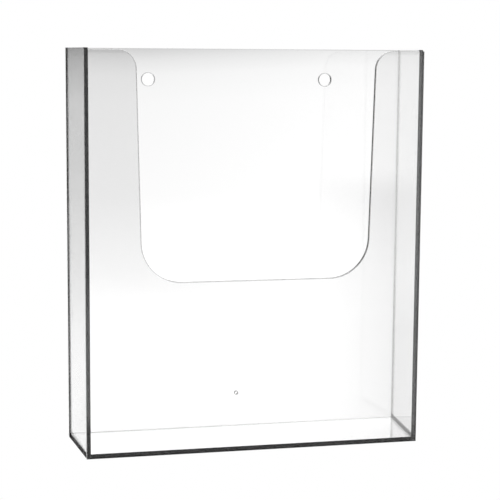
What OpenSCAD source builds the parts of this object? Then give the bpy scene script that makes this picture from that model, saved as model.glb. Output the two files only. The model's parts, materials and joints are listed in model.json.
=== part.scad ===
// Single-pocket wall magazine rack, cemented from five flat sheets of clear acrylic.
// Millimetres. +Z is up, the open front with its U-shaped cut-out faces -Y, and the
// wall is on the +Y side. The origin is the middle of the footprint, at its lower face.

/* [Pocket] */
// Width of the back sheet, which is the overall width
back_w = 248; // [220:1:320]
// Width of the front sheet: where it is narrower than the back, the sides draw in towards the front
front_w = 238; // [210:1:320]
// Overall depth, from the wall to the outer face of the front sheet
rack_d = 66; // [30:1:100]
// Overall height
rack_h = 280; // [240:1:360]
// Thickness of every sheet
sheet_t = 3; // [2:0.5:5]
// How far the front sheet's top stops below the side sheets
front_drop = 1; // [0:0.5:3]

/* [Cut-out in the front sheet] */
// Width of the opening at its top
opening_top_w = 168; // [150:1:176]
// Width of the opening where its straight sides would meet its lower edge
opening_low_w = 160; // [120:1:164]
// Height of the opening's lower edge above the underside
opening_z = 121; // [60:1:150]
// Radius of the opening's two lower corners
opening_r = 28; // [5:1:35]
// Radius of the round tops on the two ears beside the opening
ear_r = 13; // [3:1:14]

/* [Holes in the back sheet] */
// Diameter of the two wall screw holes
screw_hole_d = 9; // [4:0.5:12]
// Distance between the two screw holes
screw_spacing = 131; // [80:1:150]
// Distance from the rack's top down to the screw holes
screw_drop = 22; // [12:1:40]
// Diameter of the small lower hole on the centreline
peg_hole_d = 2; // [2:0.5:8]
// Height of the small lower hole above the underside
peg_hole_z = 27; // [15:0.5:50]

/* [Hidden] */
$fn = 96;

inner_d = rack_d - 2 * sheet_t;
// Angle between a side sheet and straight ahead, and the side sheets' thickness along X
draw_in = atan((back_w - front_w) / 2 / inner_d);
side_x = sheet_t / cos(draw_in);
front_top = rack_h - front_drop;
// Bores start and end this far outside the sheet that they go through
overshoot = 1;
// The outline's arcs are this much larger than tangent ones, so that each crosses its straight edges cleanly
arc_bite = 0.002;

// Half widths of the opening at the ears' tops and at its lower edge
top_x = opening_top_w / 2;
low_x = opening_low_w / 2;
// The opening's sides lean outward by this angle, so its corners are this much over square
lean = atan((top_x - low_x) / (front_top - opening_z));
corner = 90 + lean;
side_dir = [sin(lean), cos(lean)];
// Distance from each corner to the two points where its arc meets the straight edges
opening_run = opening_r / tan(corner / 2);
ear_run = ear_r / tan(corner / 2);
// Centres of the arcs on the right-hand half
opening_centre = [low_x - opening_run, opening_z + opening_r];
ear_centre = [top_x + ear_run, front_top - ear_r];

// Points mirrored left to right, in reverse order, so that they go on round from the right-hand half
function mirrored(points) = [for (i = [len(points) - 1 : -1 : 0]) [-points[i][0], points[i][1]]];

// Right-hand half of the front sheet's straight edges, from the underside up and round into the opening
half_outline = [
    [front_w / 2, 0],
    [front_w / 2, front_top],
    [top_x + ear_run, front_top],
    [top_x, front_top] - ear_run * side_dir,
    [low_x, opening_z] + opening_run * side_dir,
    [low_x - opening_run, opening_z],
];

// The right side sheet and the base sheet's right-hand half, seen from above
inner_half = [
    [front_w / 2 - side_x, -inner_d / 2],
    [back_w / 2 - side_x, inner_d / 2],
];
right_side_plan = [
    inner_half[0],
    [front_w / 2, -inner_d / 2],
    [back_w / 2, inner_d / 2],
    inner_half[1],
];

acrylic = [0.93, 0.94, 0.95, 0.35];

// A flat outline in X and Z, made into a sheet whose front face is at y
module upright_sheet(y) {
    translate([0, y + sheet_t, 0])
        rotate([90, 0, 0])
            linear_extrude(height = sheet_t)
                children();
}

// A round hole through the back sheet, along Y
module back_hole(x, z, d) {
    translate([x, rack_d / 2 + overshoot, z])
        rotate([90, 0, 0])
            cylinder(d = d, h = sheet_t + 2 * overshoot);
}

module back_panel() {
    color(acrylic)
        difference() {
            translate([-back_w / 2, rack_d / 2 - sheet_t, 0])
                cube([back_w, sheet_t, rack_h]);
            for (side = [-1, 1])
                back_hole(side * screw_spacing / 2, rack_h - screw_drop, screw_hole_d);
            back_hole(0, peg_hole_z, peg_hole_d);
        }
}

module front_panel() {
    color(acrylic)
        upright_sheet(-rack_d / 2)
            difference() {
                union() {
                    polygon(concat(half_outline, mirrored(half_outline)));
                    for (side = [-1, 1])
                        translate([side * ear_centre[0], ear_centre[1]])
                            circle(r = ear_r + arc_bite);
                }
                for (side = [-1, 1])
                    translate([side * opening_centre[0], opening_centre[1]])
                        circle(r = opening_r + arc_bite);
            }
}

module left_side() {
    color(acrylic)
        linear_extrude(height = rack_h)
            polygon(mirrored(right_side_plan));
}

module right_side() {
    color(acrylic)
        linear_extrude(height = rack_h)
            polygon(right_side_plan);
}

module base_panel() {
    color(acrylic)
        linear_extrude(height = sheet_t)
            polygon(concat(inner_half, mirrored(inner_half)));
}

back_panel();
front_panel();
left_side();
right_side();
base_panel();
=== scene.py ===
"""Looks of the clear acrylic wall magazine rack.

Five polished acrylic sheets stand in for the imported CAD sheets. Everything is in metres, in the
CAD model's frame: +Z is up, the open front faces -Y and the wall is on the +Y side.
"""

import json
import math

import bpy
from mathutils import Euler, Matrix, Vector
from mathutils.geometry import tessellate_polygon


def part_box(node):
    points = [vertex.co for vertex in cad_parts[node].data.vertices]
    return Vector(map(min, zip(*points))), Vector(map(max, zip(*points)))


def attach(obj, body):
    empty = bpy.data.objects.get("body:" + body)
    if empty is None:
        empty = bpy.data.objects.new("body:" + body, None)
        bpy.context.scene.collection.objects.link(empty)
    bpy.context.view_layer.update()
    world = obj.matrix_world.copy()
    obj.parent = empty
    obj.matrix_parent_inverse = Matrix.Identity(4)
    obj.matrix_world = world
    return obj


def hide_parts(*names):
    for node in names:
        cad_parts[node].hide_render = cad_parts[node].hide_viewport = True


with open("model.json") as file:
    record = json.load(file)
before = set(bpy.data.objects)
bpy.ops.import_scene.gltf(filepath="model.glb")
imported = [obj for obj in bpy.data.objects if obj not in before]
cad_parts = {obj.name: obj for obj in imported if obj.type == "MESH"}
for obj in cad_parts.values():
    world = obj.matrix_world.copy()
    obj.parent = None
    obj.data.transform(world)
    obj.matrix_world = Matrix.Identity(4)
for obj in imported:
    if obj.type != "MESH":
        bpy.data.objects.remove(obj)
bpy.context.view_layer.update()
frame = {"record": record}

MM = 0.001
X, Y, Z = 0, 1, 2

# Cut-out in the front sheet
OPENING_TOP_W = 0.168
OPENING_LOW_W = 0.160
OPENING_Z = 0.121
OPENING_R = 0.028
EAR_R = 0.013

# Rounding of the long arrises: on the back and front sheets, and on the sheets cemented between them
OPEN_ARRIS = 0.00050
CEMENTED_ARRIS = 0.00008
ARRIS_STEPS = 4
# Degrees between points on the arcs of the cut-out and its ears, and on the holes
ARC_STEP = 4
HOLE_STEP = 7.5
# Clearance between a cemented end and the sheet that it meets, so that no two faces coincide
JOINT_GAP = 0.00002

# Acrylic: refractive index, absorption per metre, and the faces' tint, where 1 is colourless
IOR = 1.49
ABSORPTION = 42
FACE_TINT = 0.99
# Painted shade on the cut edges: greys in their colour that stand in for how dark they look in the light.
# The lower, the greyer
BACK_EDGE_SHADE = 0.30
FRONT_EDGE_SHADE = 0.45
LEFT_EDGE_SHADE = 0.50
RIGHT_EDGE_SHADE = 0.62
BASE_EDGE_SHADE = 0.12
# Painted shade: grey bands on the side sheets, where they are cemented to the back and the base, which stand
# in for shade at those joints: how far each reaches from the side's end, how soft it is, and its tint
REAR_SEAM_SHADE_REACH = 0.0060
LEFT_FOOT_SHADE_REACH = 0.0042
RIGHT_FOOT_SHADE_REACH = 0.0062
SHADE_BAND_BLUR = 0.0012
LEFT_SEAM_SHADE = 0.22
RIGHT_SEAM_SHADE = 0.50
LEFT_FOOT_SHADE = 0.35
RIGHT_FOOT_SHADE = 0.12
# Painted shade: a faint grey band along the front sheet's top edge, which is not a joint: how far down it
# reaches, and its tint
TOP_SHADE_REACH = 0.0030
TOP_LINE_SHADE = 0.90

# Where each sheet's noise starts, so that no two sheets look the same
SEEDS = {"back_sheet": 3.1, "front_sheet": 7.7, "left_side": 11.3, "right_side": 17.9, "base_sheet": 23.5}
# Noise patterns: cells per metre along X, Y and Z, and octaves of detail
HAZE = ((18, 18, 18), 4)
HAIRLINES = ((2600, 30, 30), 2)
WAVES = ((9, 9, 5), 1)
# The hairlines' noise is turned by this after it is scaled, so their direction stays the same
HAIRLINE_TURN = math.radians(25)
# The cutting marks run through the sheet: cells per metre across them and along them, and the detail
MARKS_ACROSS = 1300.0
MARKS_ALONG = 60.0
MARKS_DETAIL = 3
# The noise values between which each pattern rises
HAZE_RISE = (0.35, 0.7)
HAIRLINE_RISE = (0.66, 0.74)
MARKS_RISE = (0.3, 0.7)
# The roughness that haze and hairlines add to a face, and a cut edge's lowest and highest
HAZE_ROUGHNESS = 0.025
HAIRLINE_ROUGHNESS = 0.05
EDGE_ROUGHNESS = (0.04, 0.16)
# Heights of the faces' waves and of the cut edges' marks
WAVE_HEIGHT = 0.00002
MARK_HEIGHT = 0.0000025

# The camera stands to the left of the rack, about level with its top
CAMERA_AT = (-0.2386, -1.0105, 0.2761)
CAMERA_YAW = -13.43
CAMERA_PITCH = -7.585
CAMERA_ROLL = 0.41
CAMERA_LENS = 105.75
CAMERA_CLIP = (0.05, 50)

# The light, set for the camera's view. Its places are in degrees: elevations, and angles round
# the rack from its back, +Y, towards its right, +X. Four limits say where something starts, where it is
# full, where it starts to fade and where it ends. Two limits are a range over which it fades.

# The elevations that the table, the strip beside the rack and the dark strips are kept to
MIDDLE_UP = (-40, -28, 35, 50)

# A table that runs back from the rack: its light at each elevation, its angles round the rack, its top
TABLE_LIGHT = [(-16.7, 1.48), (-10.6, 1.45), (-8.8, 1.36), (-5.7, 1.17), (-2.1, 1.13), (-1.0, 1.08),
               (-0.4, 0.95), (0.36, 0.62), (2.8, 0.5), (5.5, 0.6), (8.2, 1.9), (24, 1.9)]
TABLE_ROUND = (-8, -6, 26, 40)
TABLE_TOP = (22, 30)
# Its light sits higher towards the right: two angles round the rack, and the rise in degrees at each
TABLE_TILT = (9.3, 17.8, 0.15, 0.61)
# The share of its light that is left towards its right, up to the elevations where this fades out
RIGHT_LIGHT = [(15.4, 1.0), (17.5, 0.905), (19.4, 0.805), (19.9, 0.87)]
RIGHT_TOP = (-5.6, -4.2)

# The room: its light at each elevation, and what multiplies it at each angle round the rack
ROOM_LIGHT = [(-30, 1.05), (-0.9, 1.0), (7.7, 0.62), (30, 0.7), (50, 1.3)]
ROUND_LIGHT = [(-180, 0.45), (-165, 1.0), (-40, 1.0), (-30, 1.4), (-6, 1.4), (-4, 1.0), (120, 1.0),
               (155, 1.5), (162.2, 1.5), (170.7, 0.45), (180, 0.45)]
# What multiplies it instead at the floor's level, all round, and the elevations where this fades out
LOW_ROUND_LIGHT = 1.18
LOW_TOP = (-10.6, -8.2)
# Two dark strips, one on either side, which the rounded edges pick up
DARK_STRIPS = [(-84, 1.0), (-80, 0.05), (-54, 0.05), (-50, 1.0), (50, 1.0), (54, 0.05), (80, 0.05),
               (84, 1.0)]
# A dark patch low in front of the rack, and what is left of the light in it
PATCH_UP = (-20, -18, -14.62, -14.02)
PATCH_ROUND = (153, 158, 175, 179)
PATCH_LIGHT = 0.3

# A strip to the left of the table: its light at each elevation, its angles round the rack, its top
FLAG_LIGHT = [(-11.8, 1.0), (-9.6, 0.82), (-7.7, 0.73), (-5.7, 0.62), (-3.8, 0.52), (-1.8, 0.49),
              (-1.0, 0.34), (0.1, 0.17)]
FLAG_ROUND = (-23, -20, -14, -12)
FLAG_TOP = (0, 6)
# The upright edge that its light ends at, and what is left of the light beyond
FLAG_EDGE = (-15.89, -15.85)
FLAG_SHADE = 0.05
# The light's lower end slants: its elevation at that edge, and how steeply it falls away to the left
FLAG_FOOT = (-14.60, -14.52)
FLAG_FOOT_SLANT = 1.32

FLOOR_HALF = 3.0
FLOOR_DROP = 0.0005
LIGHT_BOUNCES = 48

# Each sheet's axes: along its outline's two directions, then through its thickness
UPRIGHT_ACROSS = (X, Z, Y)
UPRIGHT_ALONG = (Z, Y, X)
LEVEL = (Y, X, Z)


def arc(centre, radius, start, end, step):
    """Points along an arc from start to end, in degrees, with both ends."""
    count = max(2, math.ceil(abs(end - start) / step))
    angles = [math.radians(start + (end - start) * i / count) for i in range(count + 1)]
    return [(centre[0] + radius * math.cos(a), centre[1] + radius * math.sin(a)) for a in angles]


def rectangle(low, high):
    """The four corners, anticlockwise."""
    return [(low[0], low[1]), (high[0], low[1]), (high[0], high[1]), (low[0], high[1])]


def round_hole(centre, diameter):
    """A hole's outline, clockwise."""
    return arc(centre, diameter / 2, 360, 0, HOLE_STEP)[:-1]


def front_outline():
    """The front sheet's outline: two round-topped ears beside a cut-out with round lower corners."""
    low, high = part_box("front_panel")
    top_x, low_x = OPENING_TOP_W / 2, OPENING_LOW_W / 2
    lean = math.degrees(math.atan((top_x - low_x) / (high.z - OPENING_Z)))
    half_corner = math.tan(math.radians(90 + lean) / 2)
    ear = (top_x + EAR_R / half_corner, high.z - EAR_R)
    opening = (low_x - OPENING_R / half_corner, OPENING_Z + OPENING_R)
    right = [(high.x, low.z), (high.x, high.z)]
    right += arc(ear, EAR_R, 90, 180 - lean, ARC_STEP)
    right += arc(opening, OPENING_R, -lean, -90, ARC_STEP)
    return right + [(-x, z) for x, z in reversed(right)]


def corner_rays(loop):
    """A loop's inward directions: each edge's normal, the ray from each point that a mitred offset
    follows, and whether each point is on an arc."""
    count = len(loop)
    ways = [(Vector(loop[(i + 1) % count]) - Vector(loop[i])).normalized() for i in range(count)]
    inward = [Vector((-way.y, way.x)) for way in ways]
    rays, smooth = [], []
    for i in range(count):
        before, after = inward[i - 1], inward[i]
        rays.append((before + after) / (1 + before.dot(after)))
        smooth.append(before.dot(after) > math.cos(math.radians(2 * HOLE_STEP)))
    return inward, rays, smooth


def arris_profile(thickness, arris):
    """Steps through a sheet's edge: how far in, how deep, and the angle that the surface has turned."""
    quarter = [math.pi / 2 * i / ARRIS_STEPS for i in range(ARRIS_STEPS + 1)]
    near = [(arris * (1 - math.sin(a)), arris * (1 - math.cos(a)), a) for a in quarter]
    far = [(inset, thickness - depth, math.pi - a) for inset, depth, a in reversed(near)]
    return near + far


def cap_triangles(loops):
    """The flat face inside the first loop and outside the others, as anticlockwise triangles."""
    points = [point for loop in loops for point in loop]
    triangles = []
    for a, b, c in tessellate_polygon([[Vector((u, v, 0)) for u, v in loop] for loop in loops]):
        ab, ac = Vector(points[b]) - Vector(points[a]), Vector(points[c]) - Vector(points[a])
        turn = ab.x * ac.y - ab.y * ac.x
        if turn:
            triangles.append((a, b, c) if turn > 0 else (a, c, b))
    return triangles


def cut_sheet(name, loops, axes, near, thickness, arris, slope=0.0):
    """A flat sheet cut to loops, with rounded arrises.

    The first loop is the outline, anticlockwise, and the others are holes, clockwise. near is
    where the sheet's nearer face is along its last axis, and slope is how far the sheet shifts
    along that axis for each metre along its second one.
    """

    def in_place(u, v, depth):
        point = [0.0, 0.0, 0.0]
        point[axes[0]], point[axes[1]], point[axes[2]] = u, v, depth
        return tuple(point)

    def facing_out(u, v, depth):
        return Vector(in_place(u, v - slope * depth, depth)).normalized()

    profile = arris_profile(thickness, arris)
    steps = len(profile)
    verts, faces, normals, cut = [], [], [], []
    inner, rims = [], [[], []]
    for loop in loops:
        inward, rays, smooth = corner_rays(loop)
        inner.append([(u + ray.x * arris, v + ray.y * arris) for (u, v), ray in zip(loop, rays)])
        start, count = len(verts), len(loop)
        for (u, v), ray in zip(loop, rays):
            for inset, depth, _ in profile:
                along, across = u + ray.x * inset, v + ray.y * inset
                verts.append(in_place(along, across, near + depth + slope * across))
        for i in range(count):
            following = (i + 1) % count
            outward = {}
            for end in (i, following):
                outward[end] = -rays[end].normalized() if smooth[end] else -inward[i]
            for j in range(steps - 1):
                corners = [(i, j), (i, j + 1), (following, j + 1), (following, j)]
                faces.append([start + end * steps + step for end, step in corners])
                for end, step in corners:
                    turned = profile[step][2]
                    side = outward[end] * math.sin(turned)
                    normals.append(facing_out(side.x, side.y, -math.cos(turned)))
                cut.append(1.0)
        for rim, step in zip(rims, (0, steps - 1)):
            rim += [start + i * steps + step for i in range(count)]
    for a, b, c in cap_triangles(inner):
        for rim, order, facing in ((rims[0], (a, b, c), -1), (rims[1], (a, c, b), 1)):
            faces.append([rim[k] for k in order])
            normals += [facing_out(0, 0, facing)] * 3
            cut.append(0.0)
    mesh = bpy.data.meshes.new(name)
    mesh.from_pydata(verts, [], faces)
    mesh.shade_smooth()
    mesh.normals_split_custom_set(normals)
    mesh.attributes.new("cut_edge", "FLOAT", "FACE").data.foreach_set("value", cut)
    mesh.validate()
    piece = bpy.data.objects.new(name, mesh)
    bpy.context.scene.collection.objects.link(piece)
    return piece


def add(tree, kind, inputs=None, **settings):
    """Adds a node. inputs gives its sockets, by name or number, a value or another node's output."""
    made = tree.nodes.new(kind)
    for key, value in settings.items():
        setattr(made, key, value)
    for key, value in (inputs or {}).items():
        if isinstance(value, bpy.types.NodeSocket):
            tree.links.new(value, made.inputs[key])
        else:
            made.inputs[key].default_value = value
    return made


def maths(tree, operation, *values):
    """A Math node's output."""
    inputs = dict(enumerate(values))
    return add(tree, "ShaderNodeMath", inputs, operation=operation).outputs[0]


def product(tree, first, *others):
    """All the values multiplied together."""
    for value in others:
        first = maths(tree, "MULTIPLY", first, value)
    return first


def mix(tree, share, without, full):
    """The second value where share is 1, and the first where it is 0."""
    return add(tree, "ShaderNodeMix", {0: share, 2: without, 3: full}).outputs[0]


def spread(tree, value, low, high, to_low, to_high, smooth=False):
    """value mapped from one range to another, held at both ends."""
    inputs = {"Value": value, "From Min": low, "From Max": high, "To Min": to_low, "To Max": to_high}
    kind = "SMOOTHSTEP" if smooth else "LINEAR"
    return add(tree, "ShaderNodeMapRange", inputs, interpolation_type=kind).outputs["Result"]


def zone(tree, value, limits, smooth=False):
    """1 between the middle two limits and 0 outside the outer two."""
    start, full, fade, end = limits
    rise = spread(tree, value, start, full, 0, 1, smooth)
    return product(tree, rise, spread(tree, value, fade, end, 1, 0, smooth))


def below(tree, value, limits):
    """1 below the first limit and 0 above the second."""
    return spread(tree, value, *limits, 1, 0, smooth=True)


def ramp(tree, value, stops):
    """Light along a curve of (position, strength) stops, straight between them and held at both ends."""
    low, high = stops[0][0], stops[-1][0]
    most = max(strength for _, strength in stops)
    made = add(tree, "ShaderNodeValToRGB", {"Fac": spread(tree, value, low, high, 0, 1)})
    elements = made.color_ramp.elements
    while len(elements) < len(stops):
        elements.new(0.5)
    for element, (position, strength) in zip(elements, stops):
        element.position = (position - low) / (high - low)
        element.color = (strength / most,) * 3 + (1,)
    return maths(tree, "MULTIPLY", made.outputs["Color"], most)


def acrylic(sheet, through, edge_shade, bands=()):
    """Clear cast acrylic: polished faces with faint haze and hairlines, and finely marked cut edges, which
    are greyed with painted shade.

    sheet is its key in SEEDS, and through is the axis across its thickness, which the marks on its cut
    edges follow. bands are bands of painted shade on its faces: each one's axis, where it starts, where it
    is full, and its tint.
    """
    material = bpy.data.materials.new(sheet + "_acrylic")
    material.use_nodes = True
    tree = material.node_tree
    tree.nodes.clear()
    seed = SEEDS[sheet]
    at = add(tree, "ShaderNodeTexCoord").outputs["Object"]
    cut = add(tree, "ShaderNodeAttribute", attribute_name="cut_edge").outputs["Fac"]

    def noise(scale, detail, turn=0.0):
        inputs = {"Vector": at, "Scale": scale, "Location": (seed, seed / 2, 0), "Rotation": (0, turn, turn)}
        moved = add(tree, "ShaderNodeMapping", inputs).outputs[0]
        inputs = {"Vector": moved, "Scale": 1.0, "Detail": detail}
        return add(tree, "ShaderNodeTexNoise", inputs).outputs["Fac"]

    marks_scale = [MARKS_ACROSS] * 3
    marks_scale[through] = MARKS_ALONG
    marks = noise(marks_scale, MARKS_DETAIL)
    haze = spread(tree, noise(*HAZE), *HAZE_RISE, 0.0, HAZE_ROUGHNESS)
    hairlines = spread(tree, noise(*HAIRLINES, HAIRLINE_TURN), *HAIRLINE_RISE, 0, 1)
    face_roughness = maths(tree, "MULTIPLY_ADD", hairlines, HAIRLINE_ROUGHNESS, haze)
    edge_roughness = spread(tree, marks, *MARKS_RISE, *EDGE_ROUGHNESS)

    face_tint_and_shade = FACE_TINT
    # Each band darkens the faces' colour with painted shade
    for axis, start, full, tint in bands:
        along = add(tree, "ShaderNodeSeparateXYZ", {0: at}).outputs[axis]
        face_tint_and_shade = product(tree, spread(tree, along, start, full, 1.0, tint, True), face_tint_and_shade)

    waves = product(tree, noise(*WAVES), WAVE_HEIGHT)
    height = mix(tree, cut, waves, product(tree, marks, MARK_HEIGHT))
    bump = add(tree, "ShaderNodeBump", {"Strength": 1.0, "Distance": 1.0, "Height": height})
    surface = {
        # Painted shade: the cut edges take their grey, and the faces their tint with any bands of painted
        # shade
        "Base Color": mix(tree, cut, face_tint_and_shade, edge_shade),
        "Roughness": mix(tree, cut, face_roughness, edge_roughness),
        "Normal": bump.outputs[0],
        "IOR": IOR,
        "Transmission Weight": 1.0,
    }
    shader = add(tree, "ShaderNodeBsdfPrincipled", surface)
    inside = add(tree, "ShaderNodeVolumeAbsorption", {"Color": (0, 0, 0, 1), "Density": ABSORPTION})
    add(tree, "ShaderNodeOutputMaterial", {"Surface": shader.outputs[0], "Volume": inside.outputs[0]})
    return material


def finish_piece(piece, node, material):
    """Puts a sheet on the CAD's one body, in place of its CAD node."""
    piece.data.materials.append(material)
    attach(piece, "root")
    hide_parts(node)


def make_back():
    """The back sheet, with the holes that the record's mounts give."""
    low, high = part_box("back_panel")
    mounts = {mount["name"]: mount for mount in frame["record"]["mounts"]}
    screws, lower = mounts["wall_screws"], mounts["lower_hole"]
    loops = [rectangle((low.x, low.z), (high.x, high.z))]
    for side in (-1, 1):
        centre = (side * screws["dims"]["spacing_x_mm"] * MM / 2, screws["pos_m"][2])
        loops.append(round_hole(centre, 2 * screws["dims"]["hole_r_mm"] * MM))
    loops.append(round_hole((0, lower["pos_m"][2]), 2 * lower["dims"]["r_mm"] * MM))
    back = cut_sheet("back_sheet", loops, UPRIGHT_ACROSS, low.y, high.y - low.y, OPEN_ARRIS)
    finish_piece(back, "back_panel", acrylic("back_sheet", Y, BACK_EDGE_SHADE))


def make_front():
    """The front sheet, with its cut-out."""
    low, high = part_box("front_panel")
    front = cut_sheet("front_sheet", [front_outline()], UPRIGHT_ACROSS, low.y, high.y - low.y, OPEN_ARRIS)
    # A band of painted shade along the front sheet's top edge
    top_shade_band = (Z, high.z - TOP_SHADE_REACH, high.z - TOP_SHADE_REACH + SHADE_BAND_BLUR, TOP_LINE_SHADE)
    material = acrylic("front_sheet", Y, FRONT_EDGE_SHADE, [top_shade_band])
    finish_piece(front, "front_panel", material)


def side_plan():
    """Seen from above: half the front's width, half the back's, and a side sheet's thickness along X."""
    front_half, back_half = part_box("front_panel")[1].x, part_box("back_panel")[1].x
    low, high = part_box("right_side")
    return front_half, back_half, high.x - low.x - (back_half - front_half)


def make_sides():
    """The two side sheets, which draw in from the back to the narrower front."""
    looks = (
        ("left_side", LEFT_EDGE_SHADE, LEFT_SEAM_SHADE, LEFT_FOOT_SHADE_REACH, LEFT_FOOT_SHADE),
        ("right_side", RIGHT_EDGE_SHADE, RIGHT_SEAM_SHADE, RIGHT_FOOT_SHADE_REACH, RIGHT_FOOT_SHADE),
    )
    front_half, back_half, side_x = side_plan()
    for node, edge_shade, seam_shade, foot_shade_reach, foot_shade in looks:
        low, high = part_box(node)
        slope = (back_half - front_half) / (high.y - low.y)
        near = front_half - side_x - slope * low.y
        if node == "left_side":
            near, slope = -near - side_x, -slope
        outline = rectangle((low.z, low.y + JOINT_GAP), (high.z, high.y - JOINT_GAP))
        side = cut_sheet(node + "_sheet", [outline], UPRIGHT_ALONG, near, side_x, CEMENTED_ARRIS, slope)
        # Bands of painted shade at the sheet's rear and at its foot, where it meets the back and the base
        seam_shade_bands = [
            (Y, high.y - REAR_SEAM_SHADE_REACH, high.y - REAR_SEAM_SHADE_REACH + SHADE_BAND_BLUR, seam_shade),
            (Z, low.z + foot_shade_reach, low.z + foot_shade_reach - SHADE_BAND_BLUR, foot_shade),
        ]
        finish_piece(side, node, acrylic(node, X, edge_shade, seam_shade_bands))


def make_base():
    """The base sheet, inside the other four."""
    low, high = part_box("base_panel")
    front_half, back_half, side_x = side_plan()
    front_x, back_x = front_half - side_x - JOINT_GAP, back_half - side_x - JOINT_GAP
    front_y, back_y = low.y + JOINT_GAP, high.y - JOINT_GAP
    outline = [(front_y, -front_x), (back_y, -back_x), (back_y, back_x), (front_y, front_x)]
    base = cut_sheet("base_sheet", [outline], LEVEL, low.z, high.z - low.z, CEMENTED_ARRIS)
    finish_piece(base, "base_panel", acrylic("base_sheet", Z, BASE_EDGE_SHADE))


def table_light(tree, up, round_z):
    """The light of the table behind the rack."""
    table_up = maths(tree, "SUBTRACT", up, spread(tree, round_z, *TABLE_TILT))
    right = mix(tree, below(tree, up, RIGHT_TOP), 1.0, ramp(tree, round_z, RIGHT_LIGHT))
    return product(tree, ramp(tree, table_up, TABLE_LIGHT), right)


def room_light(tree, up, round_z, middle):
    """The light of the room, with its dark strips and its dark patch."""
    high_part = spread(tree, up, *LOW_TOP, 0, 1, True)
    sideways = mix(tree, high_part, LOW_ROUND_LIGHT, ramp(tree, round_z, ROUND_LIGHT))
    strips = mix(tree, middle, 1.0, ramp(tree, round_z, DARK_STRIPS))
    in_patch = product(tree, zone(tree, up, PATCH_UP), zone(tree, round_z, PATCH_ROUND))
    patch = spread(tree, in_patch, 0, 1, 1.0, PATCH_LIGHT)
    return product(tree, sideways, strips, patch, ramp(tree, up, ROOM_LIGHT))


def flag_light(tree, up, round_z):
    """The light of the strip beside the table, which ends at an upright edge and a slanting foot."""
    edge = spread(tree, round_z, *FLAG_EDGE, 1.0, FLAG_SHADE)
    slant = product(tree, maths(tree, "SUBTRACT", round_z, FLAG_EDGE[0]), FLAG_FOOT_SLANT)
    foot = spread(tree, maths(tree, "SUBTRACT", up, slant), *FLAG_FOOT, FLAG_SHADE, 1.0)
    return product(tree, edge, foot, ramp(tree, up, FLAG_LIGHT))


def studio():
    """White surroundings for the camera. The acrylic refracts and reflects a table, a room and a strip."""
    world = bpy.data.worlds.new("studio")
    bpy.context.scene.world = world
    world.use_nodes = True
    tree = world.node_tree
    tree.nodes.clear()
    direction = add(tree, "ShaderNodeTexCoord").outputs["Generated"]
    way = add(tree, "ShaderNodeSeparateXYZ", {0: direction}).outputs
    up = maths(tree, "DEGREES", maths(tree, "ARCSINE", way[Z]))
    round_z = maths(tree, "DEGREES", maths(tree, "ARCTAN2", way[X], way[Y]))
    middle = zone(tree, up, MIDDLE_UP, smooth=True)
    behind = product(tree, zone(tree, round_z, TABLE_ROUND, smooth=True), middle, below(tree, up, TABLE_TOP))
    flagged = product(tree, zone(tree, round_z, FLAG_ROUND, smooth=True), middle, below(tree, up, FLAG_TOP))
    light = mix(tree, behind, room_light(tree, up, round_z, middle), table_light(tree, up, round_z))
    light = mix(tree, flagged, light, flag_light(tree, up, round_z))
    light = mix(tree, add(tree, "ShaderNodeLightPath").outputs["Is Camera Ray"], light, 1.0)
    background = add(tree, "ShaderNodeBackground", {"Color": (1, 1, 1, 1), "Strength": light})
    add(tree, "ShaderNodeOutputWorld", {"Surface": background.outputs[0]})


def floor():
    """A plain pale floor, which the camera sees and the acrylic neither refracts nor reflects."""
    mesh = bpy.data.meshes.new("floor")
    corners = rectangle((-FLOOR_HALF, -FLOOR_HALF), (FLOOR_HALF, FLOOR_HALF))
    mesh.from_pydata([(x, y, 0) for x, y in corners], [], [(0, 1, 2, 3)])
    made = bpy.data.objects.new("floor", mesh)
    bpy.context.scene.collection.objects.link(made)
    made.location.z = -FLOOR_DROP
    material = bpy.data.materials.new("pale_floor")
    material.use_nodes = True
    tree = material.node_tree
    tree.nodes.clear()
    glow = add(tree, "ShaderNodeEmission", {"Color": (1, 1, 1, 1), "Strength": 1.0})
    add(tree, "ShaderNodeOutputMaterial", {"Surface": glow.outputs[0]})
    mesh.materials.append(material)
    made.visible_diffuse = False
    made.visible_glossy = False
    made.visible_transmission = False
    made.visible_shadow = False


def camera():
    """The photograph's viewing angle."""
    data = bpy.data.cameras.new("camera")
    data.lens = CAMERA_LENS
    data.clip_start, data.clip_end = CAMERA_CLIP
    made = bpy.data.objects.new("camera", data)
    bpy.context.scene.collection.objects.link(made)
    made.location = CAMERA_AT
    yaw = Euler((0, 0, math.radians(CAMERA_YAW))).to_matrix()
    pitch = Euler((math.radians(90 + CAMERA_PITCH), 0, 0)).to_matrix()
    roll = Euler((0, 0, math.radians(CAMERA_ROLL))).to_matrix()
    made.rotation_euler = (yaw @ pitch @ roll).to_euler()
    bpy.context.scene.camera = made


def light_paths():
    """Light bounces many times inside a clear sheet before it leaves."""
    scene = bpy.context.scene
    scene.cycles.max_bounces = LIGHT_BOUNCES
    scene.cycles.glossy_bounces = LIGHT_BOUNCES
    scene.cycles.transmission_bounces = LIGHT_BOUNCES
    scene.view_settings.view_transform = "Standard"


make_back()
make_front()
make_sides()
make_base()
studio()
floor()
camera()
light_paths()
